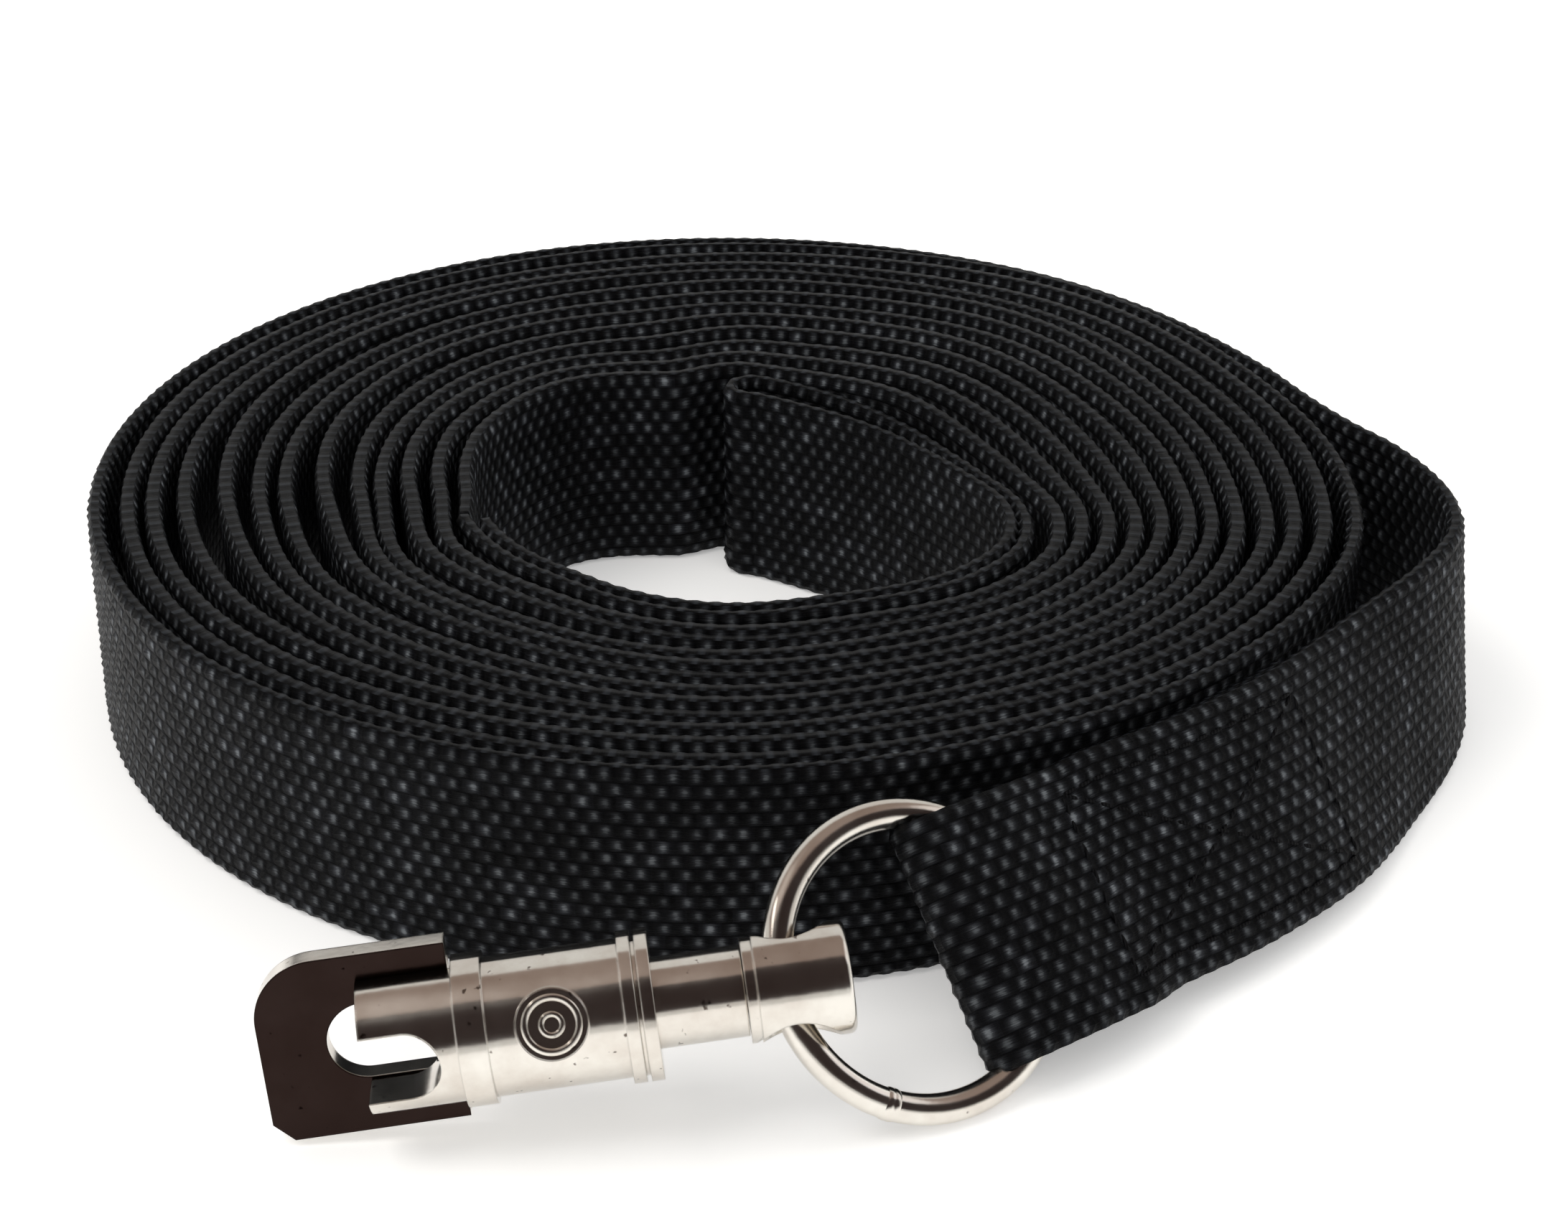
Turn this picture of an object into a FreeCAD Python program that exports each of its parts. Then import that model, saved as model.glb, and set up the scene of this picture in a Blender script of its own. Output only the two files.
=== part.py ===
"""Training leash: one length of flat webbing wound on edge into a flat coil, a hand loop in the coil's
centre, and a free end that is folded and sewn round a ring. The ring carries a swivel snap, whose sleeve
slides back against a spring to open the hook.

Frame: millimetres, +Z up, origin at the centre of the bounding box on the surface the leash lies on."""
import FreeCAD, Part
import Sketcher
import math
import os
from FreeCAD import Placement, Rotation, Vector

SIZES = [
    # webbing
    ("web_width", 25.0), ("web_thick", 1.7),
    ("coil_x", -5.6), ("coil_y", 13.2), ("coil_r", 72.6),
    ("eye_x", 2.9), ("eye_y", -9.0), ("eye_r", 33.2),
    ("loop_gap", 0.3), ("loop_start", 94.0), ("loop_sweep", 254.0),
    # folded end round the ring
    ("pocket_gap", 3.9), ("wire_gap", 0.35), ("pocket_end", 13.0), ("seam_start", 16.5), ("thread", 0.5),
    ("seam_inset", 3.0),
    # ring
    ("ring_r", 14.0), ("ring_wire", 3.0),
    # snap, along its axis from the hook's outer end
    ("plate_thick", 2.3), ("plate_start", 1.2), ("plate_top", 8.9), ("plate_low", 8.6), ("plate_corner", 5.8),
    ("plate_chamfer", 1.8), ("plate_end", 19.2),
    ("channel_top", 4.1), ("channel_low", 3.3), ("channel_x", 11.05),
    ("nose_start", 10.8), ("nose_r", 6.4), ("collar_start", 19.5), ("collar_r", 7.0),
    ("barrel_start", 22.2), ("barrel_r", 6.4), ("rim_start", 34.6), ("rim_r", 7.0), ("sleeve_end", 37.4),
    ("slot_top", 3.0), ("slot_low", 3.5), ("slot_end", 17.8),
    ("boss_x", 28.1), ("boss_r", 3.3), ("boss_rise", 0.25), ("boss_tilt", 20.0),
    ("stem_r", 2.4), ("stem_end", 39.1), ("ledge", 21.0),
    ("shank_start", 34.0), ("shank_end", 45.6), ("shank_r", 4.2),
    ("bead_r", 4.9), ("bead_end", 46.7), ("head_r", 5.25), ("head_end", 55.4),
    ("hole_x", 50.0), ("hole_r", 3.1), ("hole_flare", 0.9), ("hole_tilt", 61.0),
    ("neck_r", 2.0), ("neck_start", 44.5), ("button_start", 41.3), ("button_r", 3.0),
    ("cavity_start", 40.3), ("cavity_r", 3.2), ("fit_gap", 0.08),
    ("spring_r", 3.4), ("spring_wire", 0.6), ("spring_turns", 6.0),
]

doc = FreeCAD.newDocument("training_leash")
sheet = doc.addObject("Spreadsheet::Sheet", "sizes")
for row, (alias, value) in enumerate(SIZES, start=1):
    sheet.set(f"A{row}", alias)
    sheet.set(f"B{row}", str(value))
    sheet.setAlias(f"B{row}", alias)
doc.recompute()
size = {alias: float(sheet.get(alias)) for alias, _ in SIZES}

WIDTH = size["web_width"]
THICK = size["web_thick"]

# Places are given from the coil's centre.
COIL = Vector(size["coil_x"], size["coil_y"], 0)
EYE = COIL + Vector(size["eye_x"], size["eye_y"], 0)

# The folded end is flat: its fold line's middle, then along the webbing, up the fold line, and out of its face.
FOLD = COIL + Vector(11.4, -85.2, 11.9)
ALONG = Vector(0.905, 0.420, 0.049).normalize()
UP_FOLD = Vector(-0.310, 0.580, 0.753)
FACE = ALONG.cross(UP_FOLD).normalize()
UP_FOLD = FACE.cross(ALONG)

RING_CENTRE = COIL + Vector(8.0, -86.7, 12.15)

# The snap's own frame: X along its axis towards the ring, Z up the hook plate, which leans back a little.
SNAP_ORIGIN = COIL + Vector(-54.1, -89.8, 8.8)
SNAP_YAW, SNAP_PITCH, SNAP_ROLL = -1.75, 5.65, 10.0

# The hand loop's inside, from its tip round to its sewn end.
LOOP_INSIDE = [
    (0.2, 21.4), (9.2, 14.8), (15.3, 9.7), (19.8, 4.2), (23.4, -2.0), (26.5, -8.0), (29.6, -14.8), (30.3, -19.0),
    (28.9, -23.8), (25.6, -28.6), (21.5, -32.2), (7.2, -36.6), (-4.9, -37.6), (-17.3, -32.6), (-24.3, -24.4),
    (-26.2, -19.6),
]

# The free run's cross lines, bottom end then top end, from where it leaves the coil to the folded end.
FREE_RUN = [
    (Vector(71.8, 18.2, 0.1), Vector(71.8, 18.2, 25.0)),
    (Vector(74.0, 8.1, 0.1), Vector(74.0, 8.1, 25.0)),
    (Vector(76.2, 0.6, 0.1), Vector(76.2, 0.6, 25.0)),
    (Vector(79.8, -6.4, 0.1), Vector(79.4, -6.9, 25.0)),
    (Vector(82.5, -15.4, 0.1), Vector(81.2, -15.4, 25.0)),
    (Vector(83.0, -23.9, 0.2), Vector(81.0, -22.9, 25.0)),
    (Vector(81.4, -31.4, 0.3), Vector(78.8, -29.7, 24.9)),
    (Vector(76.8, -40.4, 0.3), Vector(73.1, -36.6, 24.5)),
    (Vector(70.0, -50.0, 0.5), Vector(64.5, -44.0, 24.0)),
    (Vector(60.8, -61.8, 1.4), Vector(51.8, -54.8, 23.6)),
]
# The sewn double layer goes on from the free run's last line to the flat pocket.
DOUBLE_RUN = [
    FREE_RUN[-1],
    (Vector(47.1, -73.3, 2.2), Vector(38.1, -63.8, 23.3)),
    (Vector(34.4, -81.2, 2.7), Vector(26.0, -69.6, 22.9)),
]
FREE_RUN, DOUBLE_RUN = ([(COIL + bottom, COIL + top) for bottom, top in run] for run in (FREE_RUN, DOUBLE_RUN))


def bind(feature, **expressions):
    """Ties a feature's properties to cells of the sheet."""
    for name, expression in expressions.items():
        feature.setExpression(name, expression)
    return feature


def piece(label, shape, placement=None):
    """A sub-part whose solid this script works out from the sheet's values."""
    feature = doc.addObject("Part::Feature", label)
    feature.Label = label
    feature.Shape = shape
    if placement:
        feature.Placement = placement
    return feature


def label(feature, name, placement=None):
    feature.Label = name
    if placement:
        feature.Placement = placement
    return feature


def cylinder(name, radius, height, place, **extra):
    """A cylinder bound to the sheet, its axis along the frame's X unless the place turns it."""
    feature = doc.addObject("Part::Cylinder", name)
    bind(feature, Radius=radius, Height=height, **extra)
    feature.Placement = place
    return feature


def along_x(x, y=0.0, z=0.0):
    return Placement(Vector(x, y, z), Rotation(Vector(0, 1, 0), 90))


def cut(name, base, tool):
    feature = doc.addObject("Part::Cut", name)
    feature.Base, feature.Tool = base, tool
    return feature


def fuse(name, shapes):
    feature = doc.addObject("Part::MultiFuse", name)
    feature.Shapes = shapes
    return feature


def web_section(bottom, top, along, thick):
    """The webbing's cross-section at one cross line, as a closed wire."""
    across = (top - bottom).normalize()
    out = along.cross(across).normalize() * (thick / 2)
    middle = (top + bottom) * 0.5
    half = across * (WIDTH / 2)
    corners = [middle - half - out, middle - half + out, middle + half + out, middle + half - out]
    return Part.makePolygon(corners + corners[:1])


def web_strip(lines, thick):
    """A solid strip of webbing through a run of cross lines."""
    middles = [(bottom + top) * 0.5 for bottom, top in lines]
    wires = []
    for i, (bottom, top) in enumerate(lines):
        before, after = middles[max(i - 1, 0)], middles[min(i + 1, len(lines) - 1)]
        wires.append(web_section(bottom, top, (after - before).normalize(), thick))
    return Part.makeLoft(wires, True, True)


# ---- webbing ----------------------------------------------------------------------------------------------
def wound_coil(body_name):
    """The wound turns as one flat ring: a sketch of two circles, padded to the webbing's width."""
    body = doc.addObject("PartDesign::Body", body_name)
    sketch = body.newObject("Sketcher::SketchObject", body_name + "_outline")
    plane = [f for f in body.Origin.OriginFeatures if f.Role == "XY_Plane"][0]
    sketch.AttachmentSupport = [(plane, "")]
    sketch.MapMode = "FlatFace"
    for x, y, radius in (("coil_x", "coil_y", "coil_r"), ("coil_x + eye_x", "coil_y + eye_y", "eye_r")):
        place = {"x": sum(size[cell] for cell in x.split(" + ")),
                 "y": sum(size[cell] for cell in y.split(" + "))}
        circle = Part.Circle(Vector(place["x"], place["y"], 0), Vector(0, 0, 1), size[radius])
        index = sketch.addGeometry(circle, False)
        radius_index = sketch.addConstraint(Sketcher.Constraint("Radius", index, size[radius]))
        sketch.setExpression(f"Constraints[{radius_index}]", f"sizes.{radius}")
        for kind, key, cells in (("DistanceX", "x", x), ("DistanceY", "y", y)):
            constraint = sketch.addConstraint(Sketcher.Constraint(kind, -1, 1, index, 3, place[key]))
            formula = " + ".join(f"sizes.{cell}" for cell in cells.split(" + "))
            sketch.setExpression(f"Constraints[{constraint}]", formula)
    pad = body.newObject("PartDesign::Pad", body_name + "_pad")
    pad.Profile = sketch
    bind(pad, Length="sizes.web_width")
    body.Label = body_name
    return body


webbing_coil = wound_coil("webbing_coil")


def hand_loop():
    """The hand loop, pressed flat against the coil's inner wall. Its outside follows the wall, and its inside
    cuts straight across the back right of the eye to the loop's tip."""
    outer = size["eye_r"] - size["loop_gap"]
    first = math.radians(size["loop_start"] - size["loop_sweep"])
    last = math.radians(size["loop_start"])

    def at(radius, angle):
        return EYE + Vector(math.cos(angle), math.sin(angle), 0) * radius

    inside = [COIL + Vector(x, y, 0) for x, y in LOOP_INSIDE]
    curve = Part.BSplineCurve()
    curve.interpolate(inside)
    edges = [
        Part.Arc(at(outer, first), at(outer, (first + last) / 2), at(outer, last)).toShape(),
        Part.LineSegment(at(outer, last), inside[0]).toShape(),
        curve.toShape(),
        Part.LineSegment(inside[-1], at(outer, first)).toShape(),
    ]
    return Part.Face(Part.Wire(edges)).extrude(Vector(0, 0, WIDTH))


webbing_hand_loop = piece("webbing_hand_loop", hand_loop())


def loop_seam():
    """Thread of the hand loop's seam, on the loop's inner face near its sewn end: two bars across it."""
    thread, inset = size["thread"], size["seam_inset"]
    bars = []
    for i in (-2, -4):
        place = COIL + Vector(*LOOP_INSIDE[i], 0)
        inward = (EYE - place).normalize()
        bar = Part.makeBox(thread, thread, WIDTH - 2 * inset, Vector(0, -thread / 2, inset))
        bar.rotate(Vector(0, 0, 0), Vector(0, 0, 1), math.degrees(math.atan2(inward.y, inward.x)))
        bar.translate(place)
        bars.append(bar)
    return Part.makeCompound(bars)


hand_loop_stitch = piece("hand_loop_stitch", loop_seam())
webbing_free_run = piece("webbing_free_run", web_strip(FREE_RUN, THICK))


def folded_end():
    """The end of the webbing, folded round the ring and back along itself: a flat pocket for the ring's arc,
    then the double layer that is sewn together."""
    half_gap = size["pocket_gap"] / 2
    outer, end, seam = half_gap + THICK, size["pocket_end"], size["seam_start"]

    def at(u, w, v=-WIDTH / 2):
        return FOLD + ALONG * u + FACE * w + UP_FOLD * v

    def loop(half, start, stop, tail):
        line = [at(start + half, half), at(end, half), at(stop, tail), at(stop, -tail), at(end, -half),
                at(start + half, -half)]
        edges = [Part.LineSegment(a, b).toShape() for a, b in zip(line[:-1], line[1:]) if (b - a).Length > 1e-6]
        edges.append(Part.Arc(line[-1], at(start, 0), line[0]).toShape())
        return Part.Face(Part.Wire(edges)).extrude(UP_FOLD * WIDTH)

    shell = loop(outer, 0.0, seam, THICK)
    pocket = loop(half_gap, THICK, seam - 2.0, 0.0)
    flat = shell.cut(pocket)
    seam_line = (at(seam - 0.5, 0), at(seam - 0.5, 0, WIDTH / 2))
    double = web_strip(DOUBLE_RUN + [seam_line], 2 * THICK)
    # The webbing gives way where the wire crosses its edges.
    wire = Part.makeTorus(size["ring_r"], size["ring_wire"] / 2 + size["wire_gap"], RING_CENTRE, FACE)
    return flat.fuse(double).cut(wire)


webbing_ring_fold = piece("webbing_ring_fold", folded_end())


def box_seam():
    """Thread of the sewn box with its cross, on the visible face of the double layer."""
    lines = DOUBLE_RUN
    inset = size["seam_inset"] / WIDTH
    proud = THICK + size["thread"] / 2

    def at(row, across):
        i = min(int(row), len(lines) - 2)
        share = row - i
        bottom = lines[i][0] * (1 - share) + lines[i + 1][0] * share
        top = lines[i][1] * (1 - share) + lines[i + 1][1] * share
        run = ((lines[i + 1][0] + lines[i + 1][1]) - (lines[i][0] + lines[i][1])).normalize()
        out = run.cross(top - bottom).normalize()
        return bottom * (1 - across) + top * across - out * proud

    def bar(start, finish):
        a, b = at(*start), at(*finish)
        side = (b - a).cross(Vector(0, 0, 1)).normalize() * (size["thread"] / 2)
        lift = (b - a).cross(side).normalize() * (size["thread"] / 2)
        square = [a + side + lift, a - side + lift, a - side - lift, a + side - lift]
        return Part.Face(Part.makePolygon(square + square[:1])).extrude(b - a)

    low, high = inset, 1 - inset
    ends = [((0.1, low), (0.1, high)), ((1.9, low), (1.9, high)), ((0.2, low), (0.95, low)),
            ((1.05, low), (1.8, low)), ((0.2, high), (0.95, high)), ((1.05, high), (1.8, high))]
    return Part.makeCompound([bar(*pair) for pair in ends])


ring_box_stitch = piece("ring_box_stitch", box_seam())

# ---- ring -------------------------------------------------------------------------------------------------
ring = doc.addObject("Part::Torus", "ring")
bind(ring, Radius1="sizes.ring_r", Radius2="sizes.ring_wire / 2")
label(ring, "ring", Placement(RING_CENTRE, Rotation(Vector(0, 0, 1), FACE)))

# ---- snap -------------------------------------------------------------------------------------------------
turn = Rotation(Vector(0, 0, 1), SNAP_YAW).multiply(Rotation(Vector(0, 1, 0), -SNAP_PITCH))
turn = turn.multiply(Rotation(Vector(1, 0, 0), -SNAP_ROLL))
SNAP = Placement(SNAP_ORIGIN, turn)


def hook_plate():
    """A flat J-shaped hook, with a round stem that the sleeve slides on."""
    top, low, end = size["plate_top"], -size["plate_low"], size["plate_end"]
    corner, chamfer = size["plate_corner"], size["plate_chamfer"]
    channel_top, channel_low, channel_x = size["channel_top"], -size["channel_low"], size["channel_x"]
    channel_r = (channel_top - channel_low) / 2
    middle = (channel_top + channel_low) / 2
    start, slant = size["plate_start"], corner * (1 - math.sqrt(0.5))

    def at(x, z):
        return Vector(x, 0, z)

    edges = [
        Part.LineSegment(at(start + chamfer, low), at(end, low)),
        Part.LineSegment(at(end, low), at(end, channel_low)),
        Part.LineSegment(at(end, channel_low), at(channel_x, channel_low)),
        Part.Arc(at(channel_x, channel_low), at(channel_x - channel_r, middle), at(channel_x, channel_top)),
        Part.LineSegment(at(channel_x, channel_top), at(end, channel_top)),
        Part.LineSegment(at(end, channel_top), at(end, top)),
        Part.LineSegment(at(end, top), at(start + corner, top)),
        Part.Arc(at(start + corner, top), at(start + slant, top - slant), at(start, top - corner)),
        Part.LineSegment(at(start, top - corner), at(start, low + chamfer)),
        Part.LineSegment(at(start, low + chamfer), at(start + chamfer, low)),
    ]
    outline = Part.Face(Part.Wire([edge.toShape() for edge in edges]))
    plate = outline.extrude(Vector(0, size["plate_thick"], 0))
    root_start, stem_start = size["slot_end"] - 0.6, size["plate_end"] - 1.2
    root = Part.makeBox(end - root_start, size["plate_thick"], -low + size["stem_r"],
                        Vector(root_start, 0, low))
    stem = Part.makeCylinder(size["stem_r"], size["stem_end"] - stem_start, Vector(stem_start, 0, 0),
                             Vector(1, 0, 0))
    return plate.fuse([root, stem]).removeSplitter()


plate_feature = piece("hook_plate", hook_plate(), SNAP)


def sleeve():
    """The sliding sleeve: a forked half-round nose in front of the plate, a collar, a barrel with a round
    boss, and a double rim. Inside, a ledge for the spring and a bore that runs on the shank."""
    axis = Vector(1, 0, 0)
    gap = size["fit_gap"]
    start, collar, end = size["nose_start"], size["collar_start"], size["sleeve_end"]

    def drum(radius, x0, x1):
        return Part.makeCylinder(radius, x1 - x0, Vector(x0, 0, 0), axis)

    nose = drum(size["nose_r"], start, collar + 0.5)
    keep = Part.makeBox(40, 20, 40, Vector(0, -20.15, -20))
    nose = nose.common(keep)
    slot_r = (size["slot_top"] + size["slot_low"]) / 2
    slot_z = (size["slot_top"] - size["slot_low"]) / 2
    round_x = size["slot_end"] - slot_r
    slot = Part.makeBox(round_x, 20, 2 * slot_r, Vector(0, -19, slot_z - slot_r))
    slot = slot.fuse(Part.makeCylinder(slot_r, 20, Vector(round_x, -19, slot_z), Vector(0, 1, 0)))
    nose = nose.cut(slot)
    rim, rim_end = size["rim_start"], size["sleeve_end"]
    groove = (rim + rim_end) / 2
    solids = [drum(size["collar_r"], collar, size["barrel_start"]), drum(size["barrel_r"], collar, end),
              drum(size["rim_r"], rim, groove - 0.2), drum(size["rim_r"], groove + 0.2, rim_end)]
    tilt = math.radians(size["boss_tilt"])
    boss = Part.makeCylinder(size["boss_r"], size["barrel_r"] + size["boss_rise"], Vector(size["boss_x"], 0, 0),
                             Vector(0, -math.cos(tilt), math.sin(tilt)))
    solid = solids[0].fuse(solids[1:] + [boss, nose])
    bore = drum(size["shank_r"] + gap, size["ledge"], end + 1)
    stem_hole = drum(size["stem_r"] + gap, start - 1, size["ledge"] + 1)
    return solid.cut(bore.fuse(stem_hole))


sliding_sleeve = piece("sliding_sleeve", sleeve(), SNAP)


def spring():
    """The sleeve's return spring, round the stem between the sleeve's ledge and the shank."""
    wire = size["spring_wire"]
    length = size["shank_start"] - size["ledge"] - wire - 0.1
    radius = size["spring_r"] - wire / 2
    helix = Part.makeLongHelix(length / size["spring_turns"], length, radius)
    section = Part.Wire(Part.makeCircle(wire / 2, Vector(radius, 0, 0), Vector(0, 1, 0)))
    coil = Part.Wire(helix.Edges).makePipeShell([section], True, True)
    return coil


return_spring = piece("return_spring", spring(),
                      SNAP.multiply(along_x(size["ledge"] + size["spring_wire"] / 2 + 0.05)))

# The shank is a tube: bored for the hook's stem, hollow where the swivel's button turns, and closed round the
# neck.
shank_rod = cylinder("shank_rod", "sizes.shank_r", "sizes.shank_end - sizes.shank_start",
                     along_x(size["shank_start"]))
stem_bore = cylinder("stem_bore", "sizes.stem_r", "sizes.stem_end - sizes.shank_start",
                     along_x(size["shank_start"]))
cavity = cylinder("cavity", "sizes.cavity_r", "sizes.neck_start - sizes.cavity_start",
                  along_x(size["cavity_start"]))
neck_bore = cylinder("neck_bore", "sizes.neck_r + sizes.fit_gap", "sizes.shank_end - sizes.neck_start + 1",
                     along_x(size["neck_start"] - 0.5))
shank = label(cut("shank", shank_rod, fuse("shank_bores", [stem_bore, cavity, neck_bore])), "shank", SNAP)


def head():
    """The swivel head: a drum with a cross hole for the ring, a rolled edge towards the shank, and a stem
    with a button that holds it in the shank while it turns."""
    axis = Vector(1, 0, 0)
    gap = size["fit_gap"]

    def drum(radius, x0, x1):
        return Part.makeCylinder(radius, x1 - x0, Vector(x0, 0, 0), axis)

    body = drum(size["head_r"], size["bead_end"], size["head_end"])
    end_edges = [edge for edge in body.Edges if abs(edge.CenterOfMass.x - size["head_end"]) < 0.01]
    rounded = body.makeFillet(0.7, end_edges)
    bead = drum(size["bead_r"], size["shank_end"] + gap, size["bead_end"])
    neck = drum(size["neck_r"], size["button_start"] + 0.5, size["bead_end"])
    button = drum(size["button_r"], size["button_start"], size["neck_start"] - gap)
    tilt = math.radians(size["hole_tilt"])
    across = Vector(0, math.cos(tilt), math.sin(tilt))
    centre = Vector(size["hole_x"], 0, 0)
    reach, radius, flare = size["head_r"] + 1, size["hole_r"], size["hole_flare"]
    hole = Part.makeCylinder(radius, 2 * reach, centre - across * reach, across)
    for side in (1, -1):
        mouth = centre + across * (side * (size["head_r"] - 2.2))
        flared = Part.makeCone(radius, radius + flare * 1.5, reach - size["head_r"] + 2.2, mouth, across * side)
        hole = hole.fuse(flared)
    return rounded.fuse([bead, neck, button]).cut(hole)


swivel_head = piece("swivel_head", head(), SNAP)

# ---- check and write --------------------------------------------------------------------------------------
doc.recompute()
NODES = [webbing_coil, webbing_hand_loop, webbing_free_run, webbing_ring_fold, hand_loop_stitch, ring_box_stitch,
         ring, plate_feature, shank, sliding_sleeve, return_spring, swivel_head]
for feature in doc.Objects:
    bad = [state for state in feature.State if state in ("Invalid", "Error")]
    if bad:
        raise RuntimeError(f"{feature.Label}: {bad}")
os.makedirs("parts", exist_ok=True)
whole = FreeCAD.BoundBox()
for node in NODES:
    shape = node.Shape
    if shape.isNull() or not shape.isValid() or not shape.Solids:
        raise RuntimeError(f"{node.Label} has no valid solid")
    shape.exportStep(f"parts/{node.Label}.step")
    box = shape.BoundBox
    whole.add(box)
    print(f"{node.Label:20s} solids {len(shape.Solids)} volume {shape.Volume:9.1f}  "
          f"x {box.XMin:6.1f} {box.XMax:6.1f}  y {box.YMin:6.1f} {box.YMax:6.1f}  "
          f"z {box.ZMin:6.2f} {box.ZMax:6.2f}")
print(f"box x {whole.XMin:.2f} {whole.XMax:.2f}  y {whole.YMin:.2f} {whole.YMax:.2f}  "
      f"z {whole.ZMin:.2f} {whole.ZMax:.2f}")
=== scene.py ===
"""Training leash: looks. The scene is in metres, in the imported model's frame. Shapes are worked out in
millimetres and scaled."""
import math

import bpy
import numpy as np
from mathutils import Matrix, Vector


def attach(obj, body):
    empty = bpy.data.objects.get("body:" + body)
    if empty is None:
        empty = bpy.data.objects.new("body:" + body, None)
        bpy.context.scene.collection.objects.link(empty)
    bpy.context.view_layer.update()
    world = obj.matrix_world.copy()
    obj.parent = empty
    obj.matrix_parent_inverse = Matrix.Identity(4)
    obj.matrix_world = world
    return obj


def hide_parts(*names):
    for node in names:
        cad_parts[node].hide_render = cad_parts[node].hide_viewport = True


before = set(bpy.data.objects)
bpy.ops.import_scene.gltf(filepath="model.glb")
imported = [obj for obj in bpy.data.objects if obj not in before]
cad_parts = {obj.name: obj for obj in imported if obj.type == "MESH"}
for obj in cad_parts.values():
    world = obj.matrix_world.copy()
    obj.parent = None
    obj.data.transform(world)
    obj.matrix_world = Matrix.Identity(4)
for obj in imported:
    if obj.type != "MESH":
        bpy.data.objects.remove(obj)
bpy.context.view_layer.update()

MM = 0.001
WIDTH = 25.0             # of the webbing
THICK = 1.7
COIL = np.array([-5.6, 13.2, 0.0])       # the coil's centre in the model

# ---- the webbing's route, in millimetres from the coil's centre --------------------------------------------
# The eye's edge: (angle in degrees, radius).
EYE_EDGE = [(-160, 30.0), (-141, 31.6), (-123, 33.2), (-114, 34.7), (-97, 36.6), (-78, 36.7), (-55, 38.4),
            (-39, 37.0), (-28, 33.4), (-16, 27.5), (-4, 23.4), (12, 20.2), (32, 18.0), (58, 17.6), (78, 19.6),
            (90, 22.2), (105, 25.2), (120, 28.0), (150, 28.8), (175, 28.9)]
SEAM_ANGLE = -160.0      # where the hand loop ends and the coil's turns begin
TIP_ANGLE = 73           # the hand loop's tip
LOOP_GAP = 1.95          # between the middles of the hand loop's two layers, at its seam
TIP_OPENING = 3.2        # how much wider the loop is at its tip
LOOP_TO_COIL = 1.3       # extra room between the hand loop and the first turn
TURNS = 12.516           # clockwise, outwards, to where the free run leaves
END_TURNS = 1.32         # the last turns, which are part of the free end's mesh
MESH_LAP = 0.01          # of a turn, where two meshes of the strip meet
# The radius that the spiral reaches at its full count of turns, all round: (angle in degrees, radius).
OUTER_EDGE = [(14, 73.3), (-8, 76.4), (-21, 77.3), (-40, 75.6), (-65, 74.0), (-100, 73.6), (-150, 74.0),
              (180, 74.3), (135, 74.9), (90, 75.1), (50, 74.3)]
LEAST_PITCH = 2.25       # from one turn of the coil to the next
WOUND_THICK = 2.1        # the wound turns are fluffed out a little; they thin down to THICK at both ends

# The free run's cross lines, bottom end then top end.
FREE_RUN = [
    ((71.05, 18.0, 0.1), (71.05, 18.0, 25.0)),
    ((73.6, 8.2, 0.1), (73.6, 8.2, 25.0)),
    ((76.2, 0.6, 0.1), (76.2, 0.6, 25.0)),
    ((79.8, -6.4, 0.1), (79.4, -6.9, 25.0)),
    ((82.5, -15.4, 0.1), (81.2, -15.4, 25.0)),
    ((83.0, -23.9, 0.2), (81.0, -22.9, 25.0)),
    ((81.4, -31.4, 0.3), (78.8, -29.7, 24.9)),
    ((76.8, -40.4, 0.3), (73.1, -36.6, 24.5)),
    ((70.0, -50.0, 0.5), (64.5, -44.0, 24.0)),
    ((60.8, -61.8, 1.4), (51.8, -54.8, 23.6)),
    ((47.1, -73.3, 2.2), (38.1, -63.8, 23.3)),
    ((34.4, -81.2, 2.7), (26.0, -69.6, 22.9)),
]
PER_SPAN = 24            # cross lines from one of these to the next


def unit(v):
    return v / np.linalg.norm(v, axis=-1, keepdims=True)


# The folded end is flat. FOLD is the middle of its fold line, and the other three point along the webbing,
# out of its face and up the fold line.
FOLD = np.array([11.4, -85.2, 11.9])
ALONG = unit(np.array([0.905, 0.420, 0.049]))
FACE = unit(np.cross(ALONG, np.array([-0.310, 0.580, 0.753])))
UP_FOLD = np.cross(FACE, ALONG)
RING_CENTRE = np.array([8.0, -86.7, 12.15])

# ---- weave -------------------------------------------------------------------------------------------------
ROWS = 16                # floats across the webbing
PERIOD = 2.2             # of one float and one dip along it, mm
RELIEF = 0.28            # of the floats
SELVEDGE = 1.1           # how far in from its edges the webbing thins
EDGE_THICK = 0.6         # the share of its thickness that is left at its edges
UV_LENGTH = 100.0        # millimetres of webbing to one unit of U


def smooth_through(points, per_span):
    """A Catmull-Rom curve through the points."""
    p = np.asarray(points, float)
    p = np.vstack([2 * p[0] - p[1], p, 2 * p[-1] - p[-2]])
    out = []
    t = np.linspace(0, 1, per_span, endpoint=False)[:, None]
    for a, b, c, d in zip(p[:-3], p[1:-2], p[2:-1], p[3:]):
        square, cube = 2 * a - 5 * b + 4 * c - d, 3 * b - a - 3 * c + d
        out.append(0.5 * (2 * b + (c - a) * t + square * t ** 2 + cube * t ** 3))
    return np.vstack(out + [p[-2][None]])


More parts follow.
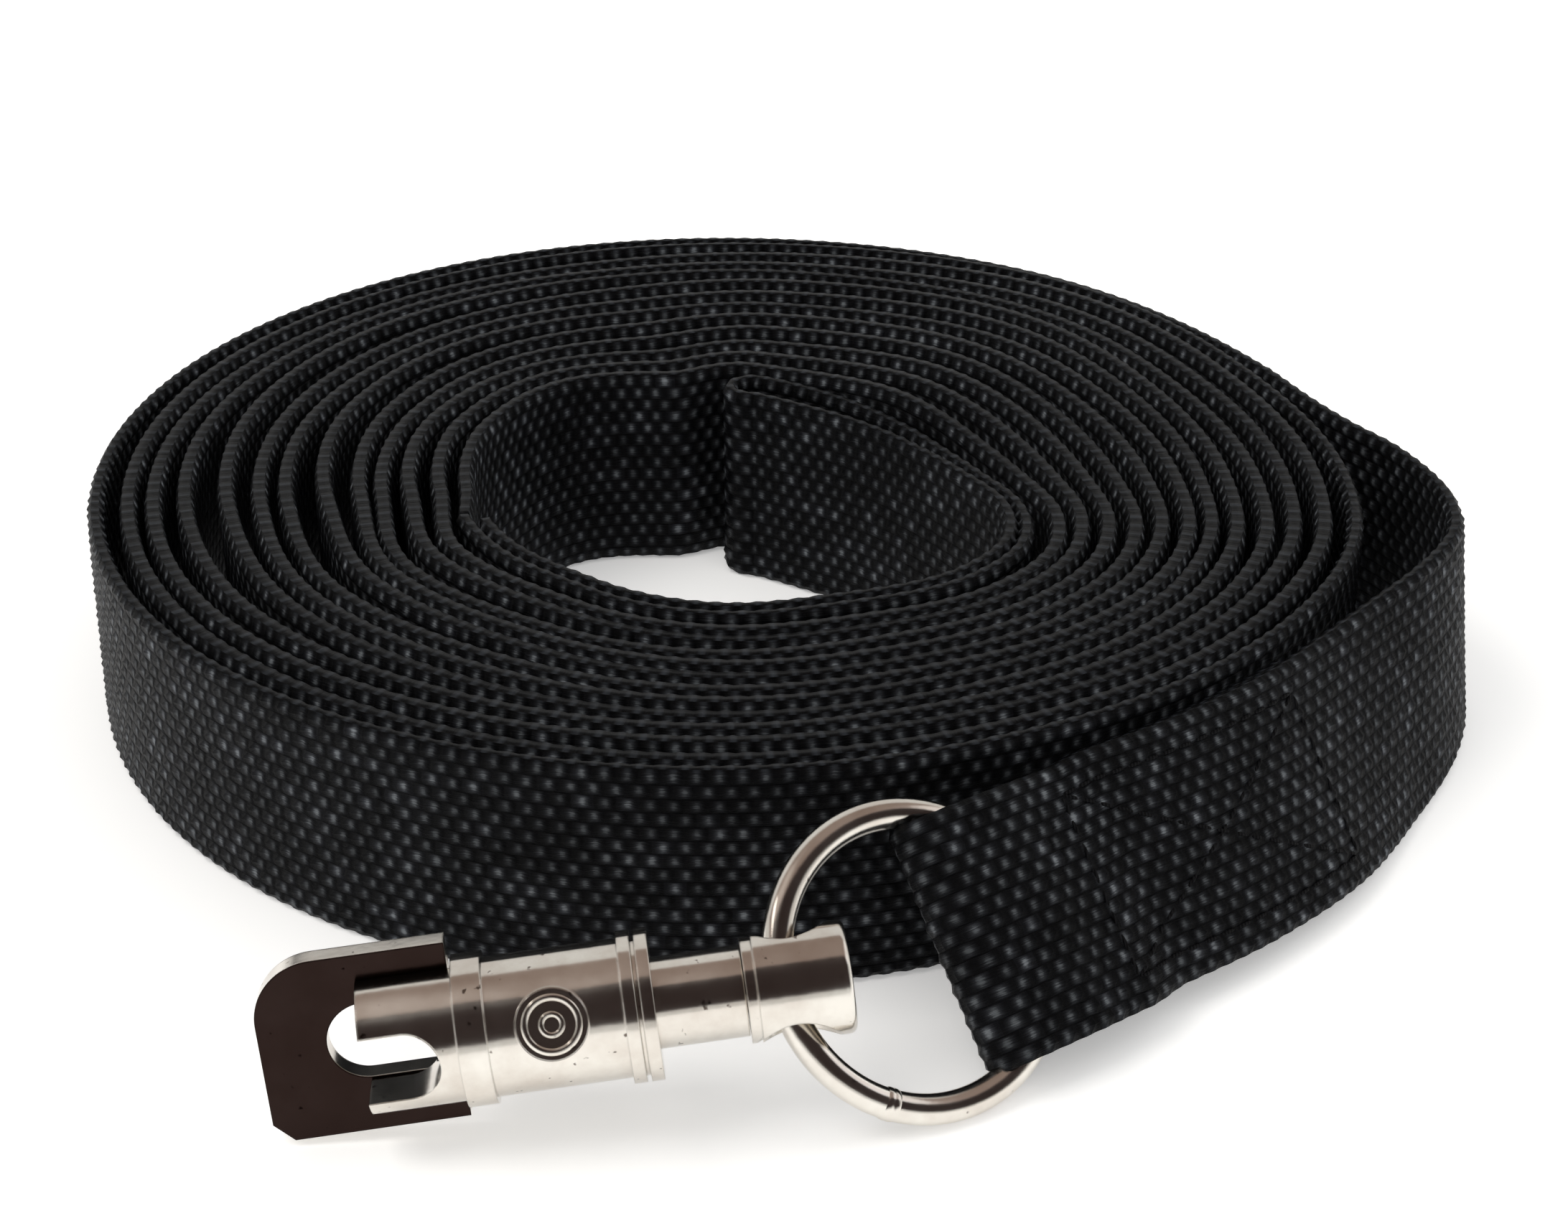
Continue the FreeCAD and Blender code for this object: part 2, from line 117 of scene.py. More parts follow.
def periodic(pairs):
    """A smooth closed function of an angle in degrees through (angle, value) pairs."""
    angles = np.array([a for a, _ in pairs], float)
    values = np.array([v for _, v in pairs], float)
    order = np.argsort(angles)
    angles, values = angles[order], values[order]
    a = np.concatenate([angles[-3:] - 360, angles, angles[:3] + 360])
    v = np.concatenate([values[-3:], values, values[:3]])
    slope = np.gradient(v, a)

    def at(angle):
        x = (np.asarray(angle, float) - a[3]) % 360 + a[3]
        i = np.clip(np.searchsorted(a, x, side="right") - 1, 0, len(a) - 2)
        h = a[i + 1] - a[i]
        t = (x - a[i]) / h
        return ((2 * t ** 3 - 3 * t ** 2 + 1) * v[i] + (t ** 3 - 2 * t ** 2 + t) * h * slope[i]
                + (3 * t ** 2 - 2 * t ** 3) * v[i + 1] + (t ** 3 - t ** 2) * h * slope[i + 1])
    return at


eye_edge = periodic(EYE_EDGE)
outer_edge = periodic(OUTER_EDGE)


def step(x, low, high):
    t = np.clip((np.asarray(x, float) - low) / (high - low), 0, 1)
    return t * t * (3 - 2 * t)


def wrapped(angle):
    return (np.asarray(angle, float) + 180) % 360 - 180


def loop_gap(angle):
    """How far the hand loop's outer layer lies outside its inner one."""
    return LOOP_GAP + TIP_OPENING * step(wrapped(angle), -22, 70)


def first_turn(angle):
    """The radius that the coil's turns are built out from: round the loop, and at the eye's edge past it."""
    a = wrapped(angle)
    past_tip = step(a, 76, 100)
    past_seam = 1 - step(a, -174, -146)
    beside_loop = (1 - past_tip) * (1 - past_seam)
    return eye_edge(a) + THICK / 2 + beside_loop * (loop_gap(a) + LOOP_TO_COIL)


def pitches(angle):
    """The spacing of each turn at an angle: never under LEAST_PITCH, and uneven."""
    a = np.radians(np.asarray(angle, float))[..., None]
    j = np.arange(math.ceil(TURNS) + 1)
    weight = (1 + 0.75 * np.sin(2.4 * j + 1.3) * np.cos(a + 1.9 * j) + 0.5 * np.sin(1.7 * j - 2 * a + 0.4)
              + 0.45 * np.cos(4.1 * j + 0.6 * np.sin(a)))
    weight = np.clip(weight, 0.06, None)
    share = np.clip(TURNS - j, 0, 1)
    spare = outer_edge(angle)[..., None] - first_turn(angle)[..., None] - LEAST_PITCH * TURNS
    return LEAST_PITCH + spare * weight / np.sum(weight * share, axis=-1, keepdims=True)


def turn_radius(turn):
    """The radius of the coil's spiral after that many turns."""
    turn = np.asarray(turn, float)
    angle = SEAM_ANGLE - 360 * turn
    whole = np.floor(turn).astype(int)
    part = turn - whole
    stacked = np.concatenate([np.zeros(turn.shape + (1,)), np.cumsum(pitches(angle), axis=-1)], axis=-1)
    inner = np.take_along_axis(stacked, whole[..., None], -1)[..., 0]
    outer = np.take_along_axis(stacked, whole[..., None] + 1, -1)[..., 0]
    return first_turn(angle) + inner * (1 - part) + outer * part


def upright(radius, angle, lift, lean):
    """Cross lines that stand on edge at polar places, lifted and leaning outwards a little."""
    a = np.radians(angle)
    out = np.stack([np.cos(a), np.sin(a), np.zeros_like(a)], -1)
    bottom = out * (radius - lean / 2)[:, None] + np.array([0, 0, 1.0]) * lift[:, None]
    top = out * (radius + lean / 2)[:, None] + np.array([0, 0, 1.0]) * (lift + WIDTH)[:, None]
    return bottom, top


def coil_lines(first, last, count):
    """The coil's cross lines between two counts of turns. The turns wander up and down a little, lean, and
    stand higher at the back right."""
    turn = np.linspace(first, last, count)
    angle = SEAM_ANGLE - 360 * turn
    back_right = np.exp(-(wrapped(angle - 28) / 30) ** 2)
    raised = 1.5 * back_right * step(TURNS - turn, 0.2, 0.5)
    wander = 0.22 + 0.2 * np.sin(2.1 * turn + 0.8) * np.sin(math.tau * turn * 1.31)
    lift = wander * step(TURNS - turn, 0.05, 0.4) + raised
    lean = 0.5 * np.sin(math.tau * turn * 0.37 + 1.0)
    return upright(turn_radius(turn), angle, lift, lean * step(TURNS - turn, 0.0, 0.3))


def at_lengths(at, run, line):
    """The line's values at the lengths at, where run is how far along each of its own points is."""
    return np.stack([np.interp(at, run, line[:, i]) for i in range(3)], -1)


def resample(bottom, top, pitch):
    """The same strip at an even spacing along its middle, and how far along each cross line is."""
    middle = (bottom + top) / 2
    run = np.concatenate([[0], np.cumsum(np.linalg.norm(np.diff(middle, axis=0), axis=1))])
    count = max(int(round(run[-1] / pitch)) + 1, 4)
    s = np.linspace(0, run[-1], count)
    bottom, top = at_lengths(s, run, bottom), at_lengths(s, run, top)
    middle = (bottom + top) / 2
    across = unit(top - bottom)
    return s, middle - across * WIDTH / 2, middle + across * WIDTH / 2


def new_piece(name, verts, faces, smooth=True):
    mesh = bpy.data.meshes.new(name)
    mesh.from_pydata([tuple(v) for v in verts], [], faces)
    if smooth:
        mesh.shade_smooth()
    piece = bpy.data.objects.new(name, mesh)
    bpy.context.scene.collection.objects.link(piece)
    return piece


def ribbon(name, bottom, top, pitch, weave, rows, start=0.0, thick=THICK):
    """A strip of webbing as one closed mesh with beaded selvedges. weave is the height of the relief on its
    faces, start is how far along the webbing it begins, and its thickness grows from THICK at both ends to
    thick between them. UV is (hundreds of millimetres along, share of the width). Returns the piece, how far
    along the webbing it ends, and a function that finds places on its faces."""
    s, bottom, top = resample(bottom, top, pitch)
    s = s + start
    middle = (bottom + top) / 2
    along = unit(np.gradient(middle, axis=0))
    across = unit(top - bottom)
    out = unit(np.cross(along, across))
    v = np.linspace(0, 1, rows + 1)
    if rows < ROWS:
        v = (1 - np.cos(math.pi * v)) / 2          # a coarse strip's rows crowd towards its selvedges
    edge = np.clip(np.minimum(v, 1 - v) * WIDTH / SELVEDGE, 0, 1)
    round_edge = EDGE_THICK + (1 - EDGE_THICK) * np.sqrt(1 - (1 - edge) ** 2)
    taper = 30
    swell = (thick - THICK) / 2 * step(s - s[0], 0, taper) * step(s[-1] - s, 0, taper)
    half = (THICK / 2 + swell)[:, None] * round_edge[None]
    row = np.clip(np.floor(v * ROWS), 0, ROWS - 1)
    phase = s[:, None] / PERIOD + 0.5 * (row % 2)[None]
    crown = np.sqrt(np.abs(np.sin(math.pi * (v * ROWS - row))))[None]
    # A number of its own for every float, which sets how far it stands out.
    rank = np.floor(phase + 0.5) * 37.7 + row[None] * 91.3
    vigour = 0.8 + 0.4 * (np.sin(rank) * 43758.5 % 1.0)
    relief = weave * ((0.5 + 0.5 * np.cos(math.tau * phase)) * crown * vigour - 0.4)
    back = weave * ((0.5 - 0.5 * np.cos(math.tau * phase)) * crown * vigour - 0.4)
    wave = np.cos(math.tau * s / PERIOD)[:, None]
    bead = 0.09 * wave * (edge < 0.6)[None]          # the selvedge swells and thins with the weft
    reach = (v - 0.5)[None] * (WIDTH + 0.05 * wave * (np.abs(v - 0.5) > 0.49)[None])
    centre = middle[:, None] + across[:, None] * reach[..., None]
    front = centre + out[:, None] * (half + relief + bead)[..., None]
    rear = centre - out[:, None] * (half + back + bead)[..., None]
    section = np.concatenate([front, rear[:, ::-1]], axis=1) + COIL
    n, m = section.shape[:2]
    uv_v = np.concatenate([v, v[::-1]])
    i, j = np.meshgrid(np.arange(n - 1), np.arange(m), indexing="ij")
    k = (j + 1) % m
    faces = np.stack([i * m + j, (i + 1) * m + j, (i + 1) * m + k, i * m + k], -1).reshape(-1, 4)
    caps = [list(range(m)), list(range((n - 1) * m, n * m))[::-1]]
    piece = new_piece(name, (section.reshape(-1, 3) * MM).tolist(), faces.tolist() + caps)
    mesh = piece.data
    layer = mesh.uv_layers.new(name="weave")
    at = np.zeros(len(mesh.loops), np.int32)
    mesh.loops.foreach_get("vertex_index", at)
    uv = np.stack([s[at // m] / UV_LENGTH, uv_v[at % m]], -1)
    layer.data.foreach_set("uv", uv.astype(np.float32).ravel())
    mesh.validate()

    def surface(at_s, at_v, side, height):
        """Places on the ribbon's face (side 1 or -1), that far above it."""
        centre, over, off = (at_lengths(at_s, s, line) for line in (middle, across, out))
        return centre + over * ((np.asarray(at_v) - 0.5) * WIDTH)[:, None] + off * side * (THICK / 2 + height)

    return piece, s[-1], surface


# ---- materials ---------------------------------------------------------------------------------------------
def material(name, base, roughness, metallic=0.0):
    mat = bpy.data.materials.new(name)
    mat.use_nodes = True
    tree = mat.node_tree
    shader = tree.nodes["Principled BSDF"]
    shader.inputs["Base Color"].default_value = (*base, 1)
    shader.inputs["Roughness"].default_value = roughness
    shader.inputs["Metallic"].default_value = metallic
    return mat, tree, shader


def add(tree, kind, **values):
    node = tree.nodes.new(kind)
    for key, value in values.items():
        if key in node.bl_rna.properties:
            setattr(node, key, value)
        else:
            node.inputs[key.replace("_", " ")].default_value = value
    return node


def math_node(tree, operation, a, b=None):
    node = add(tree, "ShaderNodeMath", operation=operation)
    for socket, value in zip(node.inputs, (a, b)):
        if value is None:
            continue
        if isinstance(value, (int, float)):
            socket.default_value = value
        else:
            tree.links.new(value, socket)
    return node.outputs[0]


def ramp(tree, factor, stops):
    node = add(tree, "ShaderNodeValToRGB")
    elements = node.color_ramp.elements
    while len(elements) < len(stops):
        elements.new(0.5)
    for element, (place, colour) in zip(elements, stops):
        element.position = place
        element.color = (*colour, 1)
    tree.links.new(factor, node.inputs[0])
    return node.outputs[0]


def webbing_material():
    mat, tree, shader = material("webbing", (0.02, 0.02, 0.024), 0.42)
    uv = add(tree, "ShaderNodeUVMap", uv_map="weave")
    parts = add(tree, "ShaderNodeSeparateXYZ")
    tree.links.new(uv.outputs[0], parts.inputs[0])
    rows = math_node(tree, "MULTIPLY", parts.outputs[1], ROWS)
    parity = math_node(tree, "MODULO", math_node(tree, "FLOOR", rows), 2.0)
    phase = math_node(tree, "ADD", math_node(tree, "MULTIPLY", parts.outputs[0], UV_LENGTH / PERIOD),
                      math_node(tree, "MULTIPLY", parity, 0.5))
    wave = math_node(tree, "COSINE", math_node(tree, "MULTIPLY", phase, math.tau))
    lifted = math_node(tree, "ADD", math_node(tree, "MULTIPLY", wave, 0.5), 0.5)
    crown = math_node(tree, "POWER", math_node(tree, "ABSOLUTE", math_node(
        tree, "SINE", math_node(tree, "MULTIPLY", rows, math.pi))), 0.5)
    weave = math_node(tree, "MULTIPLY", lifted, crown)
    stretch = add(tree, "ShaderNodeMapping")
    stretch.inputs["Scale"].default_value = (60.0, 170.0, 1.0)
    tree.links.new(uv.outputs[0], stretch.inputs["Vector"])
    fibre = add(tree, "ShaderNodeTexNoise", Scale=1.0, Detail=4.0, Roughness=0.65)
    tree.links.new(stretch.outputs[0], fibre.inputs["Vector"])
    cloud = add(tree, "ShaderNodeTexNoise", Scale=90.0, Detail=3.0)
    place = add(tree, "ShaderNodeTexCoord")
    tree.links.new(place.outputs["Object"], cloud.inputs["Vector"])
    # The floats' crowns are painted lighter and the dips between them darker: painted highlights on the
    # floats and painted shade between them.
    shade = math_node(tree, "MULTIPLY_ADD", weave, 0.8)
    tree.links.new(math_node(tree, "SUBTRACT", fibre.outputs[0], 0.4), shade.node.inputs[2])
    shade = math_node(tree, "ADD", shade, math_node(tree, "MULTIPLY", math_node(
        tree, "SUBTRACT", cloud.outputs[0], 0.5), 0.35))
    # Each float's painted highlight is scaled by a random amount, some of them up to a brighter painted
    # glint.
    pick = add(tree, "ShaderNodeCombineXYZ")
    tree.links.new(math_node(tree, "FLOOR", math_node(tree, "ADD", phase, 0.5)), pick.inputs[0])
    tree.links.new(math_node(tree, "FLOOR", rows), pick.inputs[1])
    chance = add(tree, "ShaderNodeTexWhiteNoise", noise_dimensions="2D")
    tree.links.new(pick.outputs[0], chance.inputs["Vector"])
    painted_glint = ramp(tree, chance.outputs["Value"], [(0.0, (0.5,) * 3), (0.8, (1.0,) * 3), (1.0, (1.9,) * 3)])
    colour = ramp(tree, shade, [(0.2, (0.0028, 0.0030, 0.0038)), (0.46, (0.0095, 0.0101, 0.0121)),
                                (0.72, (0.025, 0.027, 0.031)), (0.96, (0.100, 0.109, 0.118))])
    tinted = add(tree, "ShaderNodeMix", data_type="RGBA", blend_type="MULTIPLY")
    tinted.inputs[0].default_value = 1.0
    tree.links.new(colour, tinted.inputs[6])
    tree.links.new(painted_glint, tinted.inputs[7])
    # The selvedge, which shows as the turns' top edges, is plainer than the faces and painted darker, as
    # painted shade on those tops. It is beaded by the weft that turns round it, with painted glints on the
    # bead crests and painted shade between them.
    off_middle = math_node(tree, "ABSOLUTE", math_node(tree, "SUBTRACT", parts.outputs[1], 0.5))
    painted_edge_shade = ramp(tree, off_middle, [(0.478, (0, 0, 0)), (0.497, (1, 1, 1))])
    beads = math_node(tree, "MULTIPLY_ADD", wave, 0.35)
    tree.links.new(fibre.outputs[0], beads.node.inputs[2])
    bead_shade_and_glint = ramp(tree, beads, [(0.25, (0.0012, 0.0013, 0.0017)), (0.60, (0.0045, 0.0050, 0.0061)),
                                     (0.95, (0.023, 0.026, 0.031))])
    edge_shaded = add(tree, "ShaderNodeMix", data_type="RGBA")
    tree.links.new(painted_edge_shade, edge_shaded.inputs[0])
    tree.links.new(tinted.outputs[2], edge_shaded.inputs[6])
    tree.links.new(bead_shade_and_glint, edge_shaded.inputs[7])
    tree.links.new(edge_shaded.outputs[2], shader.inputs["Base Color"])
    shader.inputs["Specular IOR Level"].default_value = 0.06
    height = math_node(tree, "ADD", weave, math_node(tree, "MULTIPLY", fibre.outputs[0], 0.35))
    bump = add(tree, "ShaderNodeBump", Strength=0.9, Distance=0.0006)
    tree.links.new(height, bump.inputs["Height"])
    tree.links.new(bump.outputs[0], shader.inputs["Normal"])
    return mat


def thread_material():
    mat, tree, shader = material("thread", (0.010, 0.010, 0.011), 0.6)
    twist = add(tree, "ShaderNodeTexWave", Scale=900.0, Distortion=1.0)
    place = add(tree, "ShaderNodeTexCoord")
    tree.links.new(place.outputs["Object"], twist.inputs["Vector"])
    bump = add(tree, "ShaderNodeBump", Strength=0.4, Distance=0.0001)
    tree.links.new(twist.outputs["Fac"], bump.inputs["Height"])
    tree.links.new(bump.outputs[0], shader.inputs["Normal"])
    shade = ramp(tree, twist.outputs["Fac"], [(0.2, (0.002, 0.002, 0.0025)), (0.8, (0.007, 0.007, 0.008))])
    tree.links.new(shade, shader.inputs["Base Color"])
    shader.inputs["Specular IOR Level"].default_value = 0.06
    return mat


def nickel_material(name, roughness, dark_reflection_face=None):
    """Polished nickel with a few pits and a spot of rust. The last argument is the normal of a flat face that
    is painted much darker than the rest, as a painted dark reflection."""
    mat, tree, shader = material(name, (0.74, 0.70, 0.64), roughness, 1.0)
    place = add(tree, "ShaderNodeTexCoord")
    cloud = add(tree, "ShaderNodeTexNoise", Scale=160.0, Detail=5.0, Roughness=0.6)
    speck = add(tree, "ShaderNodeTexNoise", Scale=900.0, Detail=2.0)
    rust = add(tree, "ShaderNodeTexNoise", Scale=260.0, Detail=1.0)
    for node in (cloud, speck, rust):
        tree.links.new(place.outputs["Object"], node.inputs["Vector"])
    plate = ramp(tree, cloud.outputs[0], [(0.35, (0.66, 0.61, 0.55)), (0.65, (0.80, 0.77, 0.71))])
    spots = ramp(tree, speck.outputs[0], [(0.70, (0, 0, 0)), (0.76, (1, 1, 1))])
    rusty = ramp(tree, rust.outputs[0], [(0.775, (0, 0, 0)), (0.80, (1, 1, 1))])
    first = add(tree, "ShaderNodeMix", data_type="RGBA")
    tree.links.new(spots, first.inputs[0])
    tree.links.new(plate, first.inputs[6])
    first.inputs[7].default_value = (0.16, 0.13, 0.11, 1)
    second = add(tree, "ShaderNodeMix", data_type="RGBA")
    tree.links.new(rusty, second.inputs[0])
    tree.links.new(first.outputs[2], second.inputs[6])
    second.inputs[7].default_value = (0.34, 0.13, 0.05, 1)
    finish = second.outputs[2]
    # The painted dark reflection: the colour of that one face is multiplied nearly to black.
    if dark_reflection_face is not None:
        facing = add(tree, "ShaderNodeVectorMath", operation="DOT_PRODUCT")
        tree.links.new(place.outputs["Normal"], facing.inputs[0])
        facing.inputs[1].default_value = tuple(dark_reflection_face)
        flat = ramp(tree, facing.outputs["Value"], [(0.93, (0, 0, 0)), (0.97, (1, 1, 1))])
        dark_reflected = add(tree, "ShaderNodeMix", data_type="RGBA", blend_type="MULTIPLY")
        tree.links.new(flat, dark_reflected.inputs[0])
        tree.links.new(finish, dark_reflected.inputs[6])
        dark_reflected.inputs[7].default_value = (0.032, 0.021, 0.020, 1)
        finish = dark_reflected.outputs[2]
    tree.links.new(finish, shader.inputs["Base Color"])
    rough = math_node(tree, "ADD", math_node(tree, "MULTIPLY", cloud.outputs[0], 0.12), roughness - 0.04)
    rough = math_node(tree, "ADD", rough, math_node(tree, "MULTIPLY", rusty, 0.4))
    tree.links.new(rough, shader.inputs["Roughness"])
    ripple = add(tree, "ShaderNodeTexNoise", Scale=420.0, Detail=2.0)
    tree.links.new(place.outputs["Object"], ripple.inputs["Vector"])
    bump = add(tree, "ShaderNodeBump", Strength=0.05, Distance=0.0004)
    tree.links.new(ripple.outputs[0], bump.inputs["Height"])
    worn_edge = add(tree, "ShaderNodeBevel", samples=4, Radius=0.00028)
    tree.links.new(worn_edge.outputs[0], bump.inputs["Normal"])
    tree.links.new(bump.outputs[0], shader.inputs["Normal"])
    return mat


def steel_material():
    mat, tree, shader = material("spring_steel", (0.5, 0.5, 0.5), 0.3, 1.0)
    place = add(tree, "ShaderNodeTexCoord")
    draw = add(tree, "ShaderNodeTexNoise", Scale=500.0, Detail=3.0)
    tree.links.new(place.outputs["Object"], draw.inputs["Vector"])
    tree.links.new(ramp(tree, draw.outputs[0], [(0.3, (0.38, 0.38, 0.39)), (0.7, (0.58, 0.58, 0.57))]),
                   shader.inputs["Base Color"])
    return mat


WEBBING = webbing_material()
THREAD = thread_material()
NICKEL = nickel_material("nickel", 0.13)
STEEL = steel_material()


def dress(piece, mat, slot, body, *nodes):
    piece.data.materials.clear()
    piece.data.materials.append(mat)
    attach(piece, body)
    if nodes:
        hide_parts(*nodes)
    return piece


# ---- webbing -----------------------------------------------------------------------------------------------
def polar_lines(angles, radii):
    """Cross lines that stand straight up, just off the floor."""
    off_floor = 0.2
    return upright(radii, angles, np.full(len(angles), off_floor), np.zeros(len(angles)))


def hand_loop_lines():
    """From the cut end along the inner layer to the loop's tip, round it, and back along the outer layer."""
    inner_a = np.linspace(SEAM_ANGLE + 4, TIP_ANGLE - 1, 240)
    inner_b, inner_t = polar_lines(inner_a, eye_edge(inner_a) + THICK / 2)
    outer_a = np.linspace(TIP_ANGLE + 1, SEAM_ANGLE, 240)
    outer_b, outer_t = polar_lines(outer_a, eye_edge(outer_a) + THICK / 2 + loop_gap(outer_a))
    a, b = inner_b[-1], outer_b[0]
    middle, half = (a + b) / 2, (b - a) / 2
    out = np.array([-half[1], half[0], 0.0])
    turned = np.linspace(0.1, math.pi - 0.1, 24)[:, None]
    bend = middle - half * np.cos(turned) + out * np.sin(turned) * 1.15
    up = np.array([0, 0, WIDTH])
    return np.vstack([inner_b, bend, outer_b]), np.vstack([inner_t, bend + up, outer_t])


def fold_path():
    """The pocket's outline beside the ring, from the seam over the ring, round the fold line and back: (along
    the webbing from the fold, out of its face)."""
    rise, bend = 2.5, 2.5
    front = [(17.8, 0.9), (14.0, 1.5), (11.0, 2.3), (8.0, rise), (5.0, rise)]
    turn = [(bend - bend * math.sin(t), rise * math.cos(t)) for t in np.linspace(0, math.pi, 13)]
    rear = [(u, -w) for u, w in front[::-1]]
    return front + turn + rear


def outer_strip_lines():
    """From the coil's last turns along the free run, over the ring, round the fold and back under the seam.
    Also how far along that the fold is."""
    coil_b, coil_t = coil_lines(TURNS - END_TURNS, TURNS, 900)
    run_b = smooth_through([b for b, _ in FREE_RUN], PER_SPAN)
    run_t = smooth_through([t for _, t in FREE_RUN], PER_SPAN)
    middle = (run_b + run_t) / 2
    along = unit(np.gradient(middle, axis=0))
    out = unit(np.cross(along, unit(run_t - run_b)))
    last = len(run_b) - 1
    doubled = last - 2 * PER_SPAN          # where the doubled layer starts
    layer_gap = 0.9                        # from the middle of the two layers to each of them
    lift = layer_gap * step(np.arange(len(run_b)), doubled - 10, doubled + 14)
    front_b, front_t = run_b - out * lift[:, None], run_t - out * lift[:, None]
    tail_b, tail_t = run_b + out * layer_gap, run_t + out * layer_gap
    half = UP_FOLD * WIDTH / 2
    pocket = smooth_through([FOLD + ALONG * u + FACE * w for u, w in fold_path()], 6)
    to_fold = pocket[:len(pocket) // 2 + 1]
    joined_b = np.vstack([coil_b[:-1], front_b[:last], pocket - half, tail_b[doubled:last][::-1]])
    joined_t = np.vstack([coil_t[:-1], front_t[:last], pocket + half, tail_t[doubled:last][::-1]])
    before_b = np.vstack([coil_b[:-1], front_b[:last], to_fold - half])
    before_t = np.vstack([coil_t[:-1], front_t[:last], to_fold + half])
    middle = (before_b + before_t) / 2
    return joined_b, joined_t, np.sum(np.linalg.norm(np.diff(middle, axis=0), axis=1))


# The wound turns show little but their edges, so their mesh is coarse and their faces are plain.
FINE, FINE_ROWS = 0.58, 2 * ROWS         # from one cross line of the mesh to the next, and rows across
COARSE, COARSE_ROWS = 0.78, 7
pieces = {}
loop_b, loop_t = hand_loop_lines()
pieces["loop"], loop_length, on_loop = ribbon("hand_loop_webbing", loop_b, loop_t, FINE, RELIEF, FINE_ROWS)
coil_b, coil_t = coil_lines(0.0, TURNS - END_TURNS + MESH_LAP, 9000)
pieces["turns"], coil_end, _ = ribbon("wound_webbing", coil_b, coil_t, COARSE, 0.0, COARSE_ROWS,
                                      start=loop_length, thick=WOUND_THICK)
end_b, end_t, fold_along = outer_strip_lines()
pieces["end"], strap_length, on_end = ribbon("free_end_webbing", end_b, end_t, FINE, RELIEF, FINE_ROWS,
                                             start=coil_end)
fold_place = coil_end + fold_along
dress(pieces["loop"], WEBBING, "webbing", "webbing", "webbing_hand_loop")
dress(pieces["turns"], WEBBING, "webbing", "webbing", "webbing_coil")
dress(pieces["end"], WEBBING, "webbing", "webbing", "webbing_free_run", "webbing_ring_fold")

# ---- seams -------------------------------------------------------------------------------------------------
STITCH = 2.3             # from one needle hole to the next
THREAD_R = 0.21
DEEP, PROUD = -0.32, -0.04               # the thread's middle above the webbing's face: at a hole, halfway
SEAM_START, SEAM_LENGTH = 18.5, 34.0     # of the ring's seam, from the fold
LOOP_SEAM_START = 4.0    # from the hand loop's cut end


def seam(name, surface, lines, side):
    """Stitches along straight lines of a ribbon's face: short rounded bars that dip into the webbing at both
    ends."""
    verts, faces = [], []
    ring_count, steps = 8, 9
    for (s0, v0), (s1, v1) in lines:
        length = math.hypot(s1 - s0, (v1 - v0) * WIDTH)
        count = max(int(round(length / STITCH)), 1)
        for k in range(count):
            t = (k + np.linspace(0.08, 0.92, steps)) / count
            bow = np.sin(np.linspace(0, math.pi, steps)) ** 0.6
            path = surface(s0 + (s1 - s0) * t, v0 + (v1 - v0) * t, side, 0)
            lifted = surface(s0 + (s1 - s0) * t, v0 + (v1 - v0) * t, side, 1)
            up = lifted - path
            path = path + up * (DEEP + (PROUD - DEEP) * bow)[:, None]
            ahead = unit(np.gradient(path, axis=0))
            beside = unit(np.cross(ahead, up))
            above = np.cross(beside, ahead)
            first = len(verts)
            for i in range(steps):
                radius = THREAD_R * (0.55 + 0.45 * bow[i])
                for a in np.linspace(0, math.tau, ring_count, endpoint=False):
                    offset = radius * (math.cos(a) * beside[i] + math.sin(a) * above[i])
                    verts.append((path[i] + offset + COIL) * MM)
            for i in range(steps - 1):
                for j in range(ring_count):
                    a, b = first + i * ring_count + j, first + i * ring_count + (j + 1) % ring_count
                    faces.append((a, b, b + ring_count, a + ring_count))
            faces.append(tuple(range(first + ring_count - 1, first - 1, -1)))
            faces.append(tuple(range(first + (steps - 1) * ring_count, first + steps * ring_count)))
    return new_piece(name, verts, faces)


def box_and_cross(near, far):
    """The seam's lines between two places along the webbing: (along, share of the width) at both ends."""
    low, high = 0.12, 0.88
    corners = [(near, low), (near, high), (far, high), (far, low)]
    sides = list(zip(corners, corners[1:] + corners[:1]))
    return sides + [(corners[0], corners[2]), (corners[1], corners[3])]


front_near = fold_place - SEAM_START
rear_near = fold_place + SEAM_START
front_seam = seam("ring_seam_front", on_end, box_and_cross(front_near, front_near - SEAM_LENGTH), -1)
back_seam = seam("ring_seam_back", on_end, box_and_cross(rear_near, rear_near + SEAM_LENGTH), -1)
loop_seam = seam("loop_seam", on_loop, box_and_cross(LOOP_SEAM_START, LOOP_SEAM_START + SEAM_LENGTH), -1)
dress(front_seam, THREAD, "thread", "webbing", "ring_box_stitch")
dress(back_seam, THREAD, "thread", "webbing")
dress(loop_seam, THREAD, "thread", "webbing", "hand_loop_stitch")

# ---- metal -------------------------------------------------------------------------------------------------
# The snap's own frame starts at the hook's outer end, with x along the snap's axis.
SNAP_ORIGIN = np.array([-54.1, -89.8, 8.8])
SNAP_TURN = (Matrix.Rotation(math.radians(-1.75), 3, "Z") @ Matrix.Rotation(math.radians(-5.65), 3, "Y")
             @ Matrix.Rotation(math.radians(-10.0), 3, "X"))
# The hook plate's flat face on the snap's -y side, towards the camera, gets a painted dark reflection.
PLATE = nickel_material("nickel_plate", 0.16, SNAP_TURN @ Vector((0, -1, 0)))


